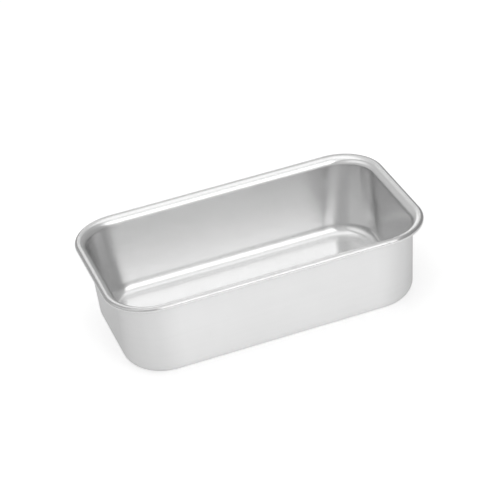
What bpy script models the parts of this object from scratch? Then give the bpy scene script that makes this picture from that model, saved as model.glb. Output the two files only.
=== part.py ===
"""Loaf pan, drawn in one piece from aluminium sheet, its rim rolled round a steel wire.

The frame has its origin on the resting plane under the centre of the pan, +X along the
pan's length and +Z up. The pan is mirrored about X = 0 and Y = 0, and nothing on it moves.
"""

import math

import bmesh
import bpy

# Driving dimensions, in metres.
PAN_LENGTH = 0.248  # over the rolled rim
PAN_WIDTH = 0.1425  # over the rolled rim
PAN_HEIGHT = 0.0665
SHEET = 0.0008

RIM_CORNER_RADIUS = 0.036  # plan radius of the rim's outer edge
RIM_OVERHANG = 0.0083  # from the wall's outer face, at its top, to the rim's outer edge
BEAD_RADIUS = 0.0020  # outside of the rolled edge
CURL_END = math.radians(-195)  # where the rolled edge stops, short of the flare's underside
WIRE_CLEARANCE = 0.0003

WALL_DRAFT = math.radians(1.06)
BASE_CORNER_RADIUS = 0.0334  # plan radius of the wall's outer face, carried down to the base
BASE_EDGE_RADIUS = 0.0101  # outside, between the wall and the floor

# Steps round each curve.
CORNER_STEPS = 8
CURL_STEPS = 19
FLARE_STEPS = 6
BASE_EDGE_STEPS = 7
WIRE_ROUNDNESS = 2  # bevel resolution of a curve: this one gives eight sides

# Worked out from the dimensions above.
FLARE_RADIUS = RIM_OVERHANG + SHEET - BEAD_RADIUS  # inside face, running into the bead's top
WIRE_RADIUS = BEAD_RADIUS - SHEET - WIRE_CLEARANCE


def arc(start, end, steps):
    """Angles from start to end, in steps + 1 even places."""
    return [start + (end - start) * step / steps for step in range(steps + 1)]


def outline(inset, corner_radius):
    """Rounded rectangle, counter-clockwise, lying inset from the rim's outer edge."""
    half_length = PAN_LENGTH / 2 - inset - corner_radius
    half_width = PAN_WIDTH / 2 - inset - corner_radius
    points = []
    for quarter, (side_x, side_y) in enumerate([(1, 1), (-1, 1), (-1, -1), (1, -1)]):
        start = quarter * math.pi / 2
        for angle in arc(start, start + math.pi / 2, CORNER_STEPS):
            x = side_x * half_length + corner_radius * math.cos(angle)
            y = side_y * half_width + corner_radius * math.sin(angle)
            points.append((x, y))
    return points


def rim_section():
    """(inset, height, plan radius) down the food side: rolled edge first, then the flare."""
    section = []
    for angle in arc(CURL_END, math.pi / 2, CURL_STEPS):
        inset = BEAD_RADIUS * (1 - math.cos(angle))
        height = PAN_HEIGHT + BEAD_RADIUS * (math.sin(angle) - 1)
        section.append((inset, height, RIM_CORNER_RADIUS - inset))
    for angle in arc(math.pi / 2, WALL_DRAFT, FLARE_STEPS)[1:]:
        inset = BEAD_RADIUS + FLARE_RADIUS * math.cos(angle)
        height = PAN_HEIGHT + FLARE_RADIUS * (math.sin(angle) - 1)
        section.append((inset, height, RIM_CORNER_RADIUS - inset))
    return section


def base_section(wall_top):
    """(inset, height, plan radius) from the foot of the wall round to the flat floor."""
    top_inset, top_height, _ = wall_top
    slope = math.tan(WALL_DRAFT)
    radius = BASE_EDGE_RADIUS - SHEET
    edge_height = SHEET + radius * (1 - math.sin(WALL_DRAFT))
    edge_inset = top_inset + (top_height - edge_height) * slope
    floor_inset = edge_inset + radius * math.cos(WALL_DRAFT)
    wall_foot_inset = top_inset + (top_height - SHEET) * slope
    wall_foot_radius = BASE_CORNER_RADIUS - SHEET

    section = []
    for angle in arc(WALL_DRAFT, math.pi / 2, BASE_EDGE_STEPS):
        inset = floor_inset - radius * math.cos(angle)
        height = SHEET + radius * (1 - math.sin(angle))
        section.append((inset, height, wall_foot_radius + wall_foot_inset - inset))
    return section


def loft(name, section):
    """Open surface through one outline for each place in the section, closed across the last."""
    shape = bmesh.new()
    rings = []
    for inset, height, corner_radius in section:
        ring = [shape.verts.new((x, y, height)) for x, y in outline(inset, corner_radius)]
        rings.append(ring)
    for outer, inner in zip(rings, rings[1:]):
        for index in range(len(outer)):
            after = (index + 1) % len(outer)
            shape.faces.new((outer[index], outer[after], inner[after], inner[index]))
    shape.faces.new(rings[-1])
    mesh = bpy.data.meshes.new(name)
    shape.to_mesh(mesh)
    shape.free()
    mesh.shade_smooth()
    mesh.set_sharp_from_angle(angle=math.radians(40))
    return mesh


def metal(name, colour, roughness):
    material = bpy.data.materials.new(name)
    material.use_nodes = True
    shader = material.node_tree.nodes["Principled BSDF"]
    shader.inputs["Base Color"].default_value = (*colour, 1)
    shader.inputs["Metallic"].default_value = 1
    shader.inputs["Roughness"].default_value = roughness
    return material


def add_pan_shell(parts):
    """The whole pan: floor, walls, flare and rolled edge, pressed from one sheet."""
    rim = rim_section()
    mesh = loft("pan_shell", rim + base_section(rim[-1]))
    mesh.materials.append(metal("satin_aluminium", (0.80, 0.80, 0.80), 0.35))
    shell = bpy.data.objects.new("pan_shell", mesh)
    parts.objects.link(shell)
    sheet = shell.modifiers.new("sheet", "SOLIDIFY")
    sheet.thickness = SHEET
    sheet.offset = -1
    sheet.use_even_offset = True
    return shell


def add_rim_wire(parts):
    """Round wire loop that stiffens the rim, loose inside the rolled edge."""
    route = outline(BEAD_RADIUS, RIM_CORNER_RADIUS - BEAD_RADIUS)
    curve = bpy.data.curves.new("rim_wire", "CURVE")
    curve.dimensions = "3D"
    curve.bevel_depth = WIRE_RADIUS
    curve.bevel_resolution = WIRE_ROUNDNESS
    loop = curve.splines.new("POLY")
    loop.points.add(len(route) - 1)
    for point, (x, y) in zip(loop.points, route):
        point.co = (x, y, PAN_HEIGHT - BEAD_RADIUS, 1)
    loop.use_cyclic_u = True
    curve.materials.append(metal("zinc_plated_wire", (0.62, 0.62, 0.63), 0.40))
    wire = bpy.data.objects.new("rim_wire", curve)
    parts.objects.link(wire)
    return wire


def main():
    for old in list(bpy.data.objects):
        bpy.data.objects.remove(old)
    parts = bpy.data.collections.new("loaf_pan")
    bpy.context.scene.collection.children.link(parts)
    add_pan_shell(parts)
    add_rim_wire(parts)


main()
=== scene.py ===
"""Loaf pan on a pale studio floor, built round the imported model."""

import math

import bmesh
import bpy
from mathutils import Matrix, Vector

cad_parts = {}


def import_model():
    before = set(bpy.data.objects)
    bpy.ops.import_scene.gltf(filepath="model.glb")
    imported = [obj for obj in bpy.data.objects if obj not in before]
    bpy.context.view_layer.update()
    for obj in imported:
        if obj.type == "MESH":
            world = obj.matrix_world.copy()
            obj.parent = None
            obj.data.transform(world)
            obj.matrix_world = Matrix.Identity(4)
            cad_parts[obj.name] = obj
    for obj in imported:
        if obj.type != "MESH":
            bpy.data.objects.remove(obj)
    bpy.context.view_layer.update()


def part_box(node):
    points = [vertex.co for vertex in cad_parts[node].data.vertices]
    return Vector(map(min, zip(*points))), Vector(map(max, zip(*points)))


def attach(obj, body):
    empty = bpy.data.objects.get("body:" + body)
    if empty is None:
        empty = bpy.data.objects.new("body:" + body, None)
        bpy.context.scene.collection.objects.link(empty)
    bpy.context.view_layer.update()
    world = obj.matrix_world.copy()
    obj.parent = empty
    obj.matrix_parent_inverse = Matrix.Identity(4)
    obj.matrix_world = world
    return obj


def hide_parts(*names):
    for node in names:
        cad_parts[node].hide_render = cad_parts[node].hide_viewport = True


# Dimensions of the pan in metres, as in its solid model. Its length, width and height come
# from the frame.
SHEET = 0.0008
RIM_CORNER_RADIUS = 0.036
RIM_OVERHANG = 0.0083
BEAD_RADIUS = 0.0020
CURL_END = math.radians(-195)
WIRE_CLEARANCE = 0.0003
WALL_DRAFT = math.radians(1.06)
BASE_CORNER_RADIUS = 0.0334
BASE_EDGE_RADIUS = 0.0101
FLARE_RADIUS = RIM_OVERHANG + SHEET - BEAD_RADIUS
WIRE_RADIUS = BEAD_RADIUS - SHEET - WIRE_CLEARANCE

# Steps round each curve of the visible mesh, and the rings and columns that hold flat
# stretches flat where they meet a curve.
CORNER_STEPS = 24
CURL_STEPS = 38
FLARE_STEPS = 24
WALL_STEPS = 8
BASE_EDGE_STEPS = 24
SIDE_STEPS = 8
SUPPORT = 0.0010
WIRE_ROUNDNESS = 4  # bevel resolution of a curve: this one gives twelve sides
SHARP_ANGLE = math.radians(40)

# Material slots of the sheet.
INSIDE = 0
OUTSIDE = 1

# The camera looks down at the pan from the front left. Angles are in degrees, azimuth 0 is
# the front of the pan and turns towards +X. The distance and shifts are in metres, the lens and
# its sensor in millimetres.
CAMERA_AZIMUTH = -16.2
CAMERA_ELEVATION = 32.1
CAMERA_ROLL = -7.1
CAMERA_DISTANCE = 1.448
CAMERA_SHIFT_RIGHT = -0.0053
CAMERA_SHIFT_UP = 0.0388
CAMERA_LENS = 136.5
CAMERA_SENSOR = 36

# The sheet's metal: lighter in tone inside, rougher and darker in tone outside, where the darker tone
# is painted shade, and darker still towards the ends and corners of the outside, also painted shade.
# Tones are reflectances.
# Spacings are in metres along each axis of the map that they follow, and depths are the height of the
# relief.
INSIDE_TONE = 0.85
INSIDE_ROUGHNESS = 0.25
# Painted shade: the outside's tone is set lower than the inside's.
OUTSIDE_SHADED_TONE = 0.77
OUTSIDE_ROUGHNESS = 0.33
# Painted shade: how much darker the outside's base colour gets towards the pan's ends and corners.
OUTSIDE_END_PAINTED_SHADE = 0.18
END_SHADE_DEPTH = 0.048  # how far in from the rim's ends the painted shade starts
RIM_ROUGHNESS = 0.25
ANISOTROPY = 0.9
ACROSS_GRAIN = 0.25  # turn of the reflections' spread, in whole turns from the grain
GRAZING_TINT = (0.75, 0.75, 0.75, 1)  # the share of light kept where the metal is seen edge on
CLOUD_TONE = 0.04
BAND_TONE = 0.03
ROUGHNESS_VARIATION = 0.06
GRAIN_SPACING = (0.020, 0.0003, 1)
BAND_SPACING = (0.120, 0.0030, 1)
PULL_SPACING = (0.0025, 0.060, 1)
CLOUD_SPACING = (0.030, 0.030, 0.030)
GRAIN_DEPTH = 0.0000004
BAND_DEPTH = 0.000003
PULL_DEPTH = 0.000002
WALL_FADE = (0.004, 0.020)  # the heights where the draw lines start and are full
RIM_FADE = 0.006  # how far below its top the rim's own roughness starts

# The zinc on the wire.
WIRE_TONE = 0.60
WIRE_TONE_VARIATION = 0.16
WIRE_ROUGHNESS = 0.38
WIRE_ROUGHNESS_VARIATION = 0.20
WIRE_CLOUD_SPACING = (0.004, 0.004, 0.004)

# Layers of finer noise in every pattern.
NOISE_DETAIL = 3.0

# Studio floor and light, in metres. Strengths are radiances, where 1 is a white that the
# picture just holds.
FLOOR_SIZE = 6
FLOOR_COLOUR = (0.90, 0.90, 0.90, 1)
FLOOR_ROUGHNESS = 0.9
FLOOR_GAP = 0.0001  # keeps the floor out of the plane of the pan's underside
# Painted light: the floor glows round the pan, and the glow fades away from it.
FLOOR_GLOW = 0.42
GLOW_FADE = (0.60, 0.95)  # how far from the pan the glow starts to fade and is gone
WORLD_LIGHT = 0.60
WORLD_LIGHT_RIGHT = 0.35
SOFTBOX_DISTANCE = 1.8
# name: azimuth, elevation, width, height, all in degrees as the pan sees them, and radiance
SOFTBOXES = {
    "key": (15, 40, 30, 30, 1.4),
    "left": (-85, 40, 60, 25, 0.4),
    "back": (170, 20, 20, 15, 1.2),
    "top": (180, 85, 50, 40, 0.7),
}


def direction(azimuth, elevation):
    """Unit vector from the pan towards a place round it, both angles in degrees."""
    turn = math.radians(azimuth)
    rise = math.radians(elevation)
    return Vector((math.sin(turn) * math.cos(rise), -math.cos(turn) * math.cos(rise), math.sin(rise)))


# ---- Section and outline ----


def arc(start, end, steps):
    """Angles or shares from start to end, in steps + 1 even places."""
    return [start + (end - start) * step / steps for step in range(steps + 1)]


def rim_section(height_of_pan):
    """(inset, height, plan radius) down the food side: rolled edge first, then the flare."""
    section = []
    for angle in arc(CURL_END, math.pi / 2, CURL_STEPS):
        inset = BEAD_RADIUS * (1 - math.cos(angle))
        height = height_of_pan + BEAD_RADIUS * (math.sin(angle) - 1)
        section.append((inset, height, RIM_CORNER_RADIUS - inset))
    for angle in arc(math.pi / 2, WALL_DRAFT, FLARE_STEPS)[1:]:
        inset = BEAD_RADIUS + FLARE_RADIUS * math.cos(angle)
        height = height_of_pan + FLARE_RADIUS * (math.sin(angle) - 1)
        section.append((inset, height, RIM_CORNER_RADIUS - inset))
    return section


def base_section(wall_top):
    """(inset, height, plan radius) from the foot of the wall round to the flat floor."""
    top_inset, top_height, _ = wall_top
    slope = math.tan(WALL_DRAFT)
    radius = BASE_EDGE_RADIUS - SHEET
    edge_height = SHEET + radius * (1 - math.sin(WALL_DRAFT))
    edge_inset = top_inset + (top_height - edge_height) * slope
    floor_inset = edge_inset + radius * math.cos(WALL_DRAFT)
    wall_foot_inset = top_inset + (top_height - SHEET) * slope
    wall_foot_radius = BASE_CORNER_RADIUS - SHEET

    insets = [(floor_inset - radius * math.cos(a), SHEET + radius * (1 - math.sin(a)))
              for a in arc(WALL_DRAFT, math.pi / 2, BASE_EDGE_STEPS)]
    insets.append((floor_inset + SUPPORT, SHEET))
    return [(inset, height, wall_foot_radius + wall_foot_inset - inset) for inset, height in insets]


def wall_section(top, foot):
    """Rings between the flare and the base edge, the first and last close to their curves."""
    run = math.dist(top[:2], foot[:2])
    shares = [SUPPORT / run] + arc(0, 1, WALL_STEPS)[1:-1] + [1 - SUPPORT / run]
    return [tuple(a + (b - a) * share for a, b in zip(top, foot)) for share in shares]


def outline(size, inset, corner_radius):
    """Rounded rectangle, counter-clockwise, lying inset from the rim's outer edge."""
    half_length = size.x / 2 - inset - corner_radius
    half_width = size.y / 2 - inset - corner_radius
    corners = []
    for quarter, (side_x, side_y) in enumerate([(1, 1), (-1, 1), (-1, -1), (1, -1)]):
        start = quarter * math.pi / 2
        corners.append([
            Vector((side_x * half_length + corner_radius * math.cos(angle),
                    side_y * half_width + corner_radius * math.sin(angle)))
            for angle in arc(start, start + math.pi / 2, CORNER_STEPS)])
    points = []
    for corner, after in zip(corners, corners[1:] + corners[:1]):
        points += corner
        run = (after[0] - corner[-1]).length
        shares = [SUPPORT / run] + arc(0, 1, SIDE_STEPS)[1:-1] + [1 - SUPPORT / run]
        points += [corner[-1].lerp(after[0], share) for share in shares]
    return points


# ---- Meshes ----


def write_uv(layer, face, corners):
    """Sets where each corner of the face lies on a UV map."""
    for loop, place in zip(face.loops, corners):
        loop[layer].uv = place


def lofted_sheet(name, size, section):
    """Food side of the pan as one open surface. Two UV maps are in metres: rolled is where the
    sheet was in its flat blank, so the grain of the rolling mill follows it up the walls, and
    drawn runs round the pan and up its wall, the way that the press pulled the sheet. On the floor
    both are the same."""
    shape = bmesh.new()
    rolled = shape.loops.layers.uv.new("rolled")
    drawn = shape.loops.layers.uv.new("drawn")
    outlines = [outline(size, inset, radius) for inset, _, radius in section]
    rings = [[shape.verts.new((*point, height)) for point in points]
             for points, (_, height, _) in zip(outlines, section)]

    climb = [0.0]
    for (inset, height, _), (next_inset, next_height, _) in zip(section, section[1:]):
        climb.append(climb[-1] + math.hypot(next_inset - inset, next_height - height))
    climb = [climb[-1] - along for along in climb]
    floor_edge = outlines[-1]
    pull = [(rim - floor).normalized() for rim, floor in zip(outlines[0], floor_edge)]
    around = [0.0]
    for point, after in zip(floor_edge, floor_edge[1:] + floor_edge[:1]):
        around.append(around[-1] + (after - point).length)

    columns = len(floor_edge)
    for row in range(len(rings) - 1):
        for column in range(columns):
            after = (column + 1) % columns
            face = shape.faces.new((rings[row][column], rings[row][after],
                                    rings[row + 1][after], rings[row + 1][column]))
            face.smooth = True
            # The rolled edge takes the outside's material, whose darker tone is painted shade.
            face.material_index = OUTSIDE if row < CURL_STEPS else INSIDE
            places = [(column, row), (after, row), (after, row + 1), (column, row + 1)]
            write_uv(rolled, face, [floor_edge[c] + pull[c] * climb[r] for c, r in places])
            spans = [(column, row), (column + 1, row), (column + 1, row + 1), (column, row + 1)]
            write_uv(drawn, face, [(around[c], climb[r]) for c, r in spans])
    floor = shape.faces.new(rings[-1])
    floor.smooth = True
    write_uv(rolled, floor, floor_edge)
    write_uv(drawn, floor, floor_edge)

    mesh = bpy.data.meshes.new(name)
    shape.to_mesh(mesh)
    shape.free()
    return mesh


def add_object(name, data):
    piece = bpy.data.objects.new(name, data)
    bpy.context.scene.collection.objects.link(piece)
    return piece


def make_real(piece):
    """Applies the modifiers, then marks the cut edges of the sheet as sharp."""
    graph = bpy.context.evaluated_depsgraph_get()
    piece.data = bpy.data.meshes.new_from_object(piece.evaluated_get(graph))
    piece.modifiers.clear()
    piece.data.set_sharp_from_angle(angle=SHARP_ANGLE)


def add_pan(size, inside, outside):
    """The sheet of the pan, pressed in one piece, with its rim rolled over. The rolled edge has the
    outside's material: as rough as the outside, and as dark, which is painted shade."""
    rim = rim_section(size.z)
    base = base_section(rim[-1])
    section = rim + wall_section(rim[-1], base[0]) + base
    pan = add_object("pan_sheet", lofted_sheet("pan_sheet", size, section))
    pan.data.materials.append(inside)
    pan.data.materials.append(outside)
    sheet = pan.modifiers.new("sheet", "SOLIDIFY")
    sheet.thickness = SHEET
    sheet.offset = -1
    sheet.use_even_offset = True
    sheet.material_offset = OUTSIDE - INSIDE
    make_real(pan)
    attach(pan, "root")
    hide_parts("pan_shell")


def add_wire(size, material):
    """The round wire inside the rolled rim, seen only from below."""
    route = outline(size, BEAD_RADIUS, RIM_CORNER_RADIUS - BEAD_RADIUS)
    curve = bpy.data.curves.new("stiffening_wire", "CURVE")
    curve.dimensions = "3D"
    curve.bevel_depth = WIRE_RADIUS
    curve.bevel_resolution = WIRE_ROUNDNESS
    loop = curve.splines.new("POLY")
    loop.points.add(len(route) - 1)
    for point, place in zip(loop.points, route):
        point.co = (*place, size.z - BEAD_RADIUS, 1)
    loop.use_cyclic_u = True
    curve.materials.append(material)
    wire = add_object("stiffening_wire", curve)
    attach(wire, "root")
    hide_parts("rim_wire")


# ---- Materials ----


class Graph:
    """Short calls for building a material's nodes."""

    def __init__(self, name):
        self.material = bpy.data.materials.new(name)
        self.material.use_nodes = True
        self.tree = self.material.node_tree
        self.shader = self.tree.nodes["Principled BSDF"]

    def node(self, kind, inputs=None, **settings):
        made = self.tree.nodes.new(kind)
        for key, value in settings.items():
            setattr(made, key, value)
        for key, value in (inputs or {}).items():
            self.put(value, made.inputs[key])
        return made

    def put(self, value, socket):
        if isinstance(value, bpy.types.NodeSocket):
            self.tree.links.new(value, socket)
        else:
            socket.default_value = value

    def math(self, operation, first, second=0.0):
        return self.node("ShaderNodeMath", {0: first, 1: second}, operation=operation).outputs[0]

    def total(self, start, *parts):
        """start plus each value times its weight."""
        for value, weight in parts:
            start = self.node("ShaderNodeMath", {0: value, 1: weight, 2: start},
                              operation="MULTIPLY_ADD").outputs[0]
        return start

    def remap(self, value, low, high, to_low=0.0, to_high=1.0):
        made = self.node("ShaderNodeMapRange", {"Value": value, "From Min": low, "From Max": high,
                                                "To Min": to_low, "To Max": to_high})
        return made.outputs["Result"]

    def place(self, uv_map=None):
        """Position on a UV map, or in the object's own space, in metres."""
        if uv_map:
            return self.node("ShaderNodeUVMap", uv_map=uv_map).outputs["UV"]
        return self.node("ShaderNodeTexCoord").outputs["Object"]

    def noise(self, place, spacing):
        """Noise about zero whose features are spacing apart, in metres, along each axis."""
        scaled = self.node("ShaderNodeVectorMath", {0: place, 1: [1 / gap for gap in spacing]},
                           operation="MULTIPLY").outputs[0]
        made = self.node("ShaderNodeTexNoise", {"Vector": scaled, "Scale": 1.0, "Detail": NOISE_DETAIL})
        return self.math("SUBTRACT", made.outputs["Fac"], 0.5)


def satin_aluminium(name, tone, end_painted_shade, roughness, grain_map, size):
    """Drawn sheet. Its fine grain runs along grain_map and spreads reflections across itself,
    and the press has left faint lines up the walls."""
    graph = Graph(name)
    along_grain = graph.place(grain_map)
    drawn = graph.place("drawn")
    body = graph.place()
    axes = graph.node("ShaderNodeSeparateXYZ", {0: body}).outputs
    half_length = size.x / 2

    grain = graph.noise(along_grain, GRAIN_SPACING)
    bands = graph.noise(along_grain, BAND_SPACING)
    clouds = graph.noise(body, CLOUD_SPACING)
    on_wall = graph.remap(axes["Z"], *WALL_FADE)
    pulls = graph.math("MULTIPLY", graph.noise(drawn, PULL_SPACING), on_wall)
    on_rim = graph.remap(axes["Z"], size.z - RIM_FADE, size.z - BEAD_RADIUS / 2)
    # Painted shade: the base colour darkens towards the pan's ends and corners.
    on_shaded_end = graph.remap(graph.math("ABSOLUTE", axes["X"]), half_length - END_SHADE_DEPTH,
                         half_length - RIM_OVERHANG)

    uneven = graph.total(roughness, (bands, ROUGHNESS_VARIATION), (pulls, ROUGHNESS_VARIATION),
                         (on_rim, RIM_ROUGHNESS - roughness))
    graph.put(uneven, graph.shader.inputs["Roughness"])
    shade = graph.total(tone, (clouds, CLOUD_TONE), (bands, BAND_TONE), (on_shaded_end, -end_painted_shade))
    graph.put(shade, graph.shader.inputs["Base Color"])
    relief = graph.total(0.0, (grain, GRAIN_DEPTH), (bands, BAND_DEPTH), (pulls, PULL_DEPTH))
    bump = graph.node("ShaderNodeBump", {"Strength": 1.0, "Distance": 1.0, "Height": relief})
    graph.put(bump.outputs["Normal"], graph.shader.inputs["Normal"])
    grain_way = graph.node("ShaderNodeTangent", direction_type="UV_MAP", uv_map=grain_map)
    graph.put(grain_way.outputs["Tangent"], graph.shader.inputs["Tangent"])
    graph.shader.inputs["Anisotropic"].default_value = ANISOTROPY
    graph.shader.inputs["Anisotropic Rotation"].default_value = ACROSS_GRAIN
    graph.shader.inputs["Specular Tint"].default_value = GRAZING_TINT
    graph.shader.inputs["Metallic"].default_value = 1.0
    return graph.material


def zinc_wire():
    """Dull plating with soft spots of tone and roughness."""
    graph = Graph("zinc_plated_wire")
    clouds = graph.noise(graph.place(), WIRE_CLOUD_SPACING)
    roughness = graph.total(WIRE_ROUGHNESS, (clouds, WIRE_ROUGHNESS_VARIATION))
    graph.put(roughness, graph.shader.inputs["Roughness"])
    shade = graph.total(WIRE_TONE, (clouds, WIRE_TONE_VARIATION))
    graph.put(shade, graph.shader.inputs["Base Color"])
    graph.shader.inputs["Metallic"].default_value = 1.0
    return graph.material


def pale_floor():
    """Glows round the pan, a painted pool of light that fades away from it, so that the far floor is
    dim in the metal.
    """
    graph = Graph("pale_floor")
    graph.shader.inputs["Base Color"].default_value = FLOOR_COLOUR
    graph.shader.inputs["Roughness"].default_value = FLOOR_ROUGHNESS
    graph.shader.inputs["Emission Color"].default_value = (1, 1, 1, 1)
    away = graph.node("ShaderNodeVectorMath", {0: graph.place()}, operation="LENGTH")
    glow = graph.remap(away.outputs["Value"], *GLOW_FADE, FLOOR_GLOW, 0.0)
    graph.put(glow, graph.shader.inputs["Emission Strength"])
    return graph.material


# ---- Studio ----


def add_softbox(name, azimuth, elevation, width, height, radiance):
    """A soft rectangle of light that faces the pan, unseen by the camera itself."""
    light = bpy.data.lights.new(name, "AREA")
    light.shape = "RECTANGLE"
    light.size = 2 * SOFTBOX_DISTANCE * math.tan(math.radians(width / 2))
    light.size_y = 2 * SOFTBOX_DISTANCE * math.tan(math.radians(height / 2))
    light.energy = radiance * math.pi * light.size * light.size_y
    box = add_object(name, light)
    towards = direction(azimuth, elevation)
    box.location = towards * SOFTBOX_DISTANCE
    box.rotation_euler = towards.to_track_quat("Z", "Y").to_euler()
    box.visible_camera = False


def add_floor():
    bpy.ops.mesh.primitive_plane_add(size=FLOOR_SIZE, location=(0, 0, -FLOOR_GAP))
    floor = bpy.context.object
    floor.name = "studio_floor"
    floor.data.materials.append(pale_floor())


def add_world():
    """Even light from all round, dimmer on the right."""
    world = bpy.data.worlds.new("studio")
    world.use_nodes = True
    tree = world.node_tree
    background = tree.nodes["Background"]
    background.inputs["Color"].default_value = (1, 1, 1, 1)
    towards = tree.nodes.new("ShaderNodeTexCoord")
    axes = tree.nodes.new("ShaderNodeSeparateXYZ")
    dimming = tree.nodes.new("ShaderNodeMapRange")
    dimming.inputs["To Min"].default_value = WORLD_LIGHT
    dimming.inputs["To Max"].default_value = WORLD_LIGHT_RIGHT
    tree.links.new(towards.outputs["Generated"], axes.inputs["Vector"])
    tree.links.new(axes.outputs["X"], dimming.inputs["Value"])
    tree.links.new(dimming.outputs["Result"], background.inputs["Strength"])
    bpy.context.scene.world = world


def add_camera():
    """Aims at the pan, then rolls about the view and slides sideways and up to frame it."""
    back = direction(CAMERA_AZIMUTH, CAMERA_ELEVATION)
    turn = math.radians(CAMERA_AZIMUTH)
    level = Vector((math.cos(turn), math.sin(turn), 0))
    upright = back.cross(level)
    roll = math.radians(CAMERA_ROLL)
    right = math.cos(roll) * level + math.sin(roll) * upright
    up = math.cos(roll) * upright - math.sin(roll) * level
    place = back * CAMERA_DISTANCE + right * CAMERA_SHIFT_RIGHT + up * CAMERA_SHIFT_UP
    data = bpy.data.cameras.new("camera")
    data.sensor_width = CAMERA_SENSOR
    data.lens = CAMERA_LENS
    camera = add_object("camera", data)
    camera.matrix_world = Matrix.Translation(place) @ Matrix((right, up, back)).transposed().to_4x4()
    bpy.context.scene.camera = camera


def main():
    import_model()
    low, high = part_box("pan_shell")
    size = high - low
    add_camera()
    inside = satin_aluminium("aluminium_inside", INSIDE_TONE, 0.0, INSIDE_ROUGHNESS, "rolled", size)
    outside = satin_aluminium("aluminium_outside_shaded", OUTSIDE_SHADED_TONE, OUTSIDE_END_PAINTED_SHADE,
                              OUTSIDE_ROUGHNESS, "drawn", size)
    add_pan(size, inside, outside)
    add_wire(size, zinc_wire())
    add_floor()
    add_world()
    for name, settings in SOFTBOXES.items():
        add_softbox(name, *settings)
    bpy.context.scene.view_settings.view_transform = "Standard"


main()
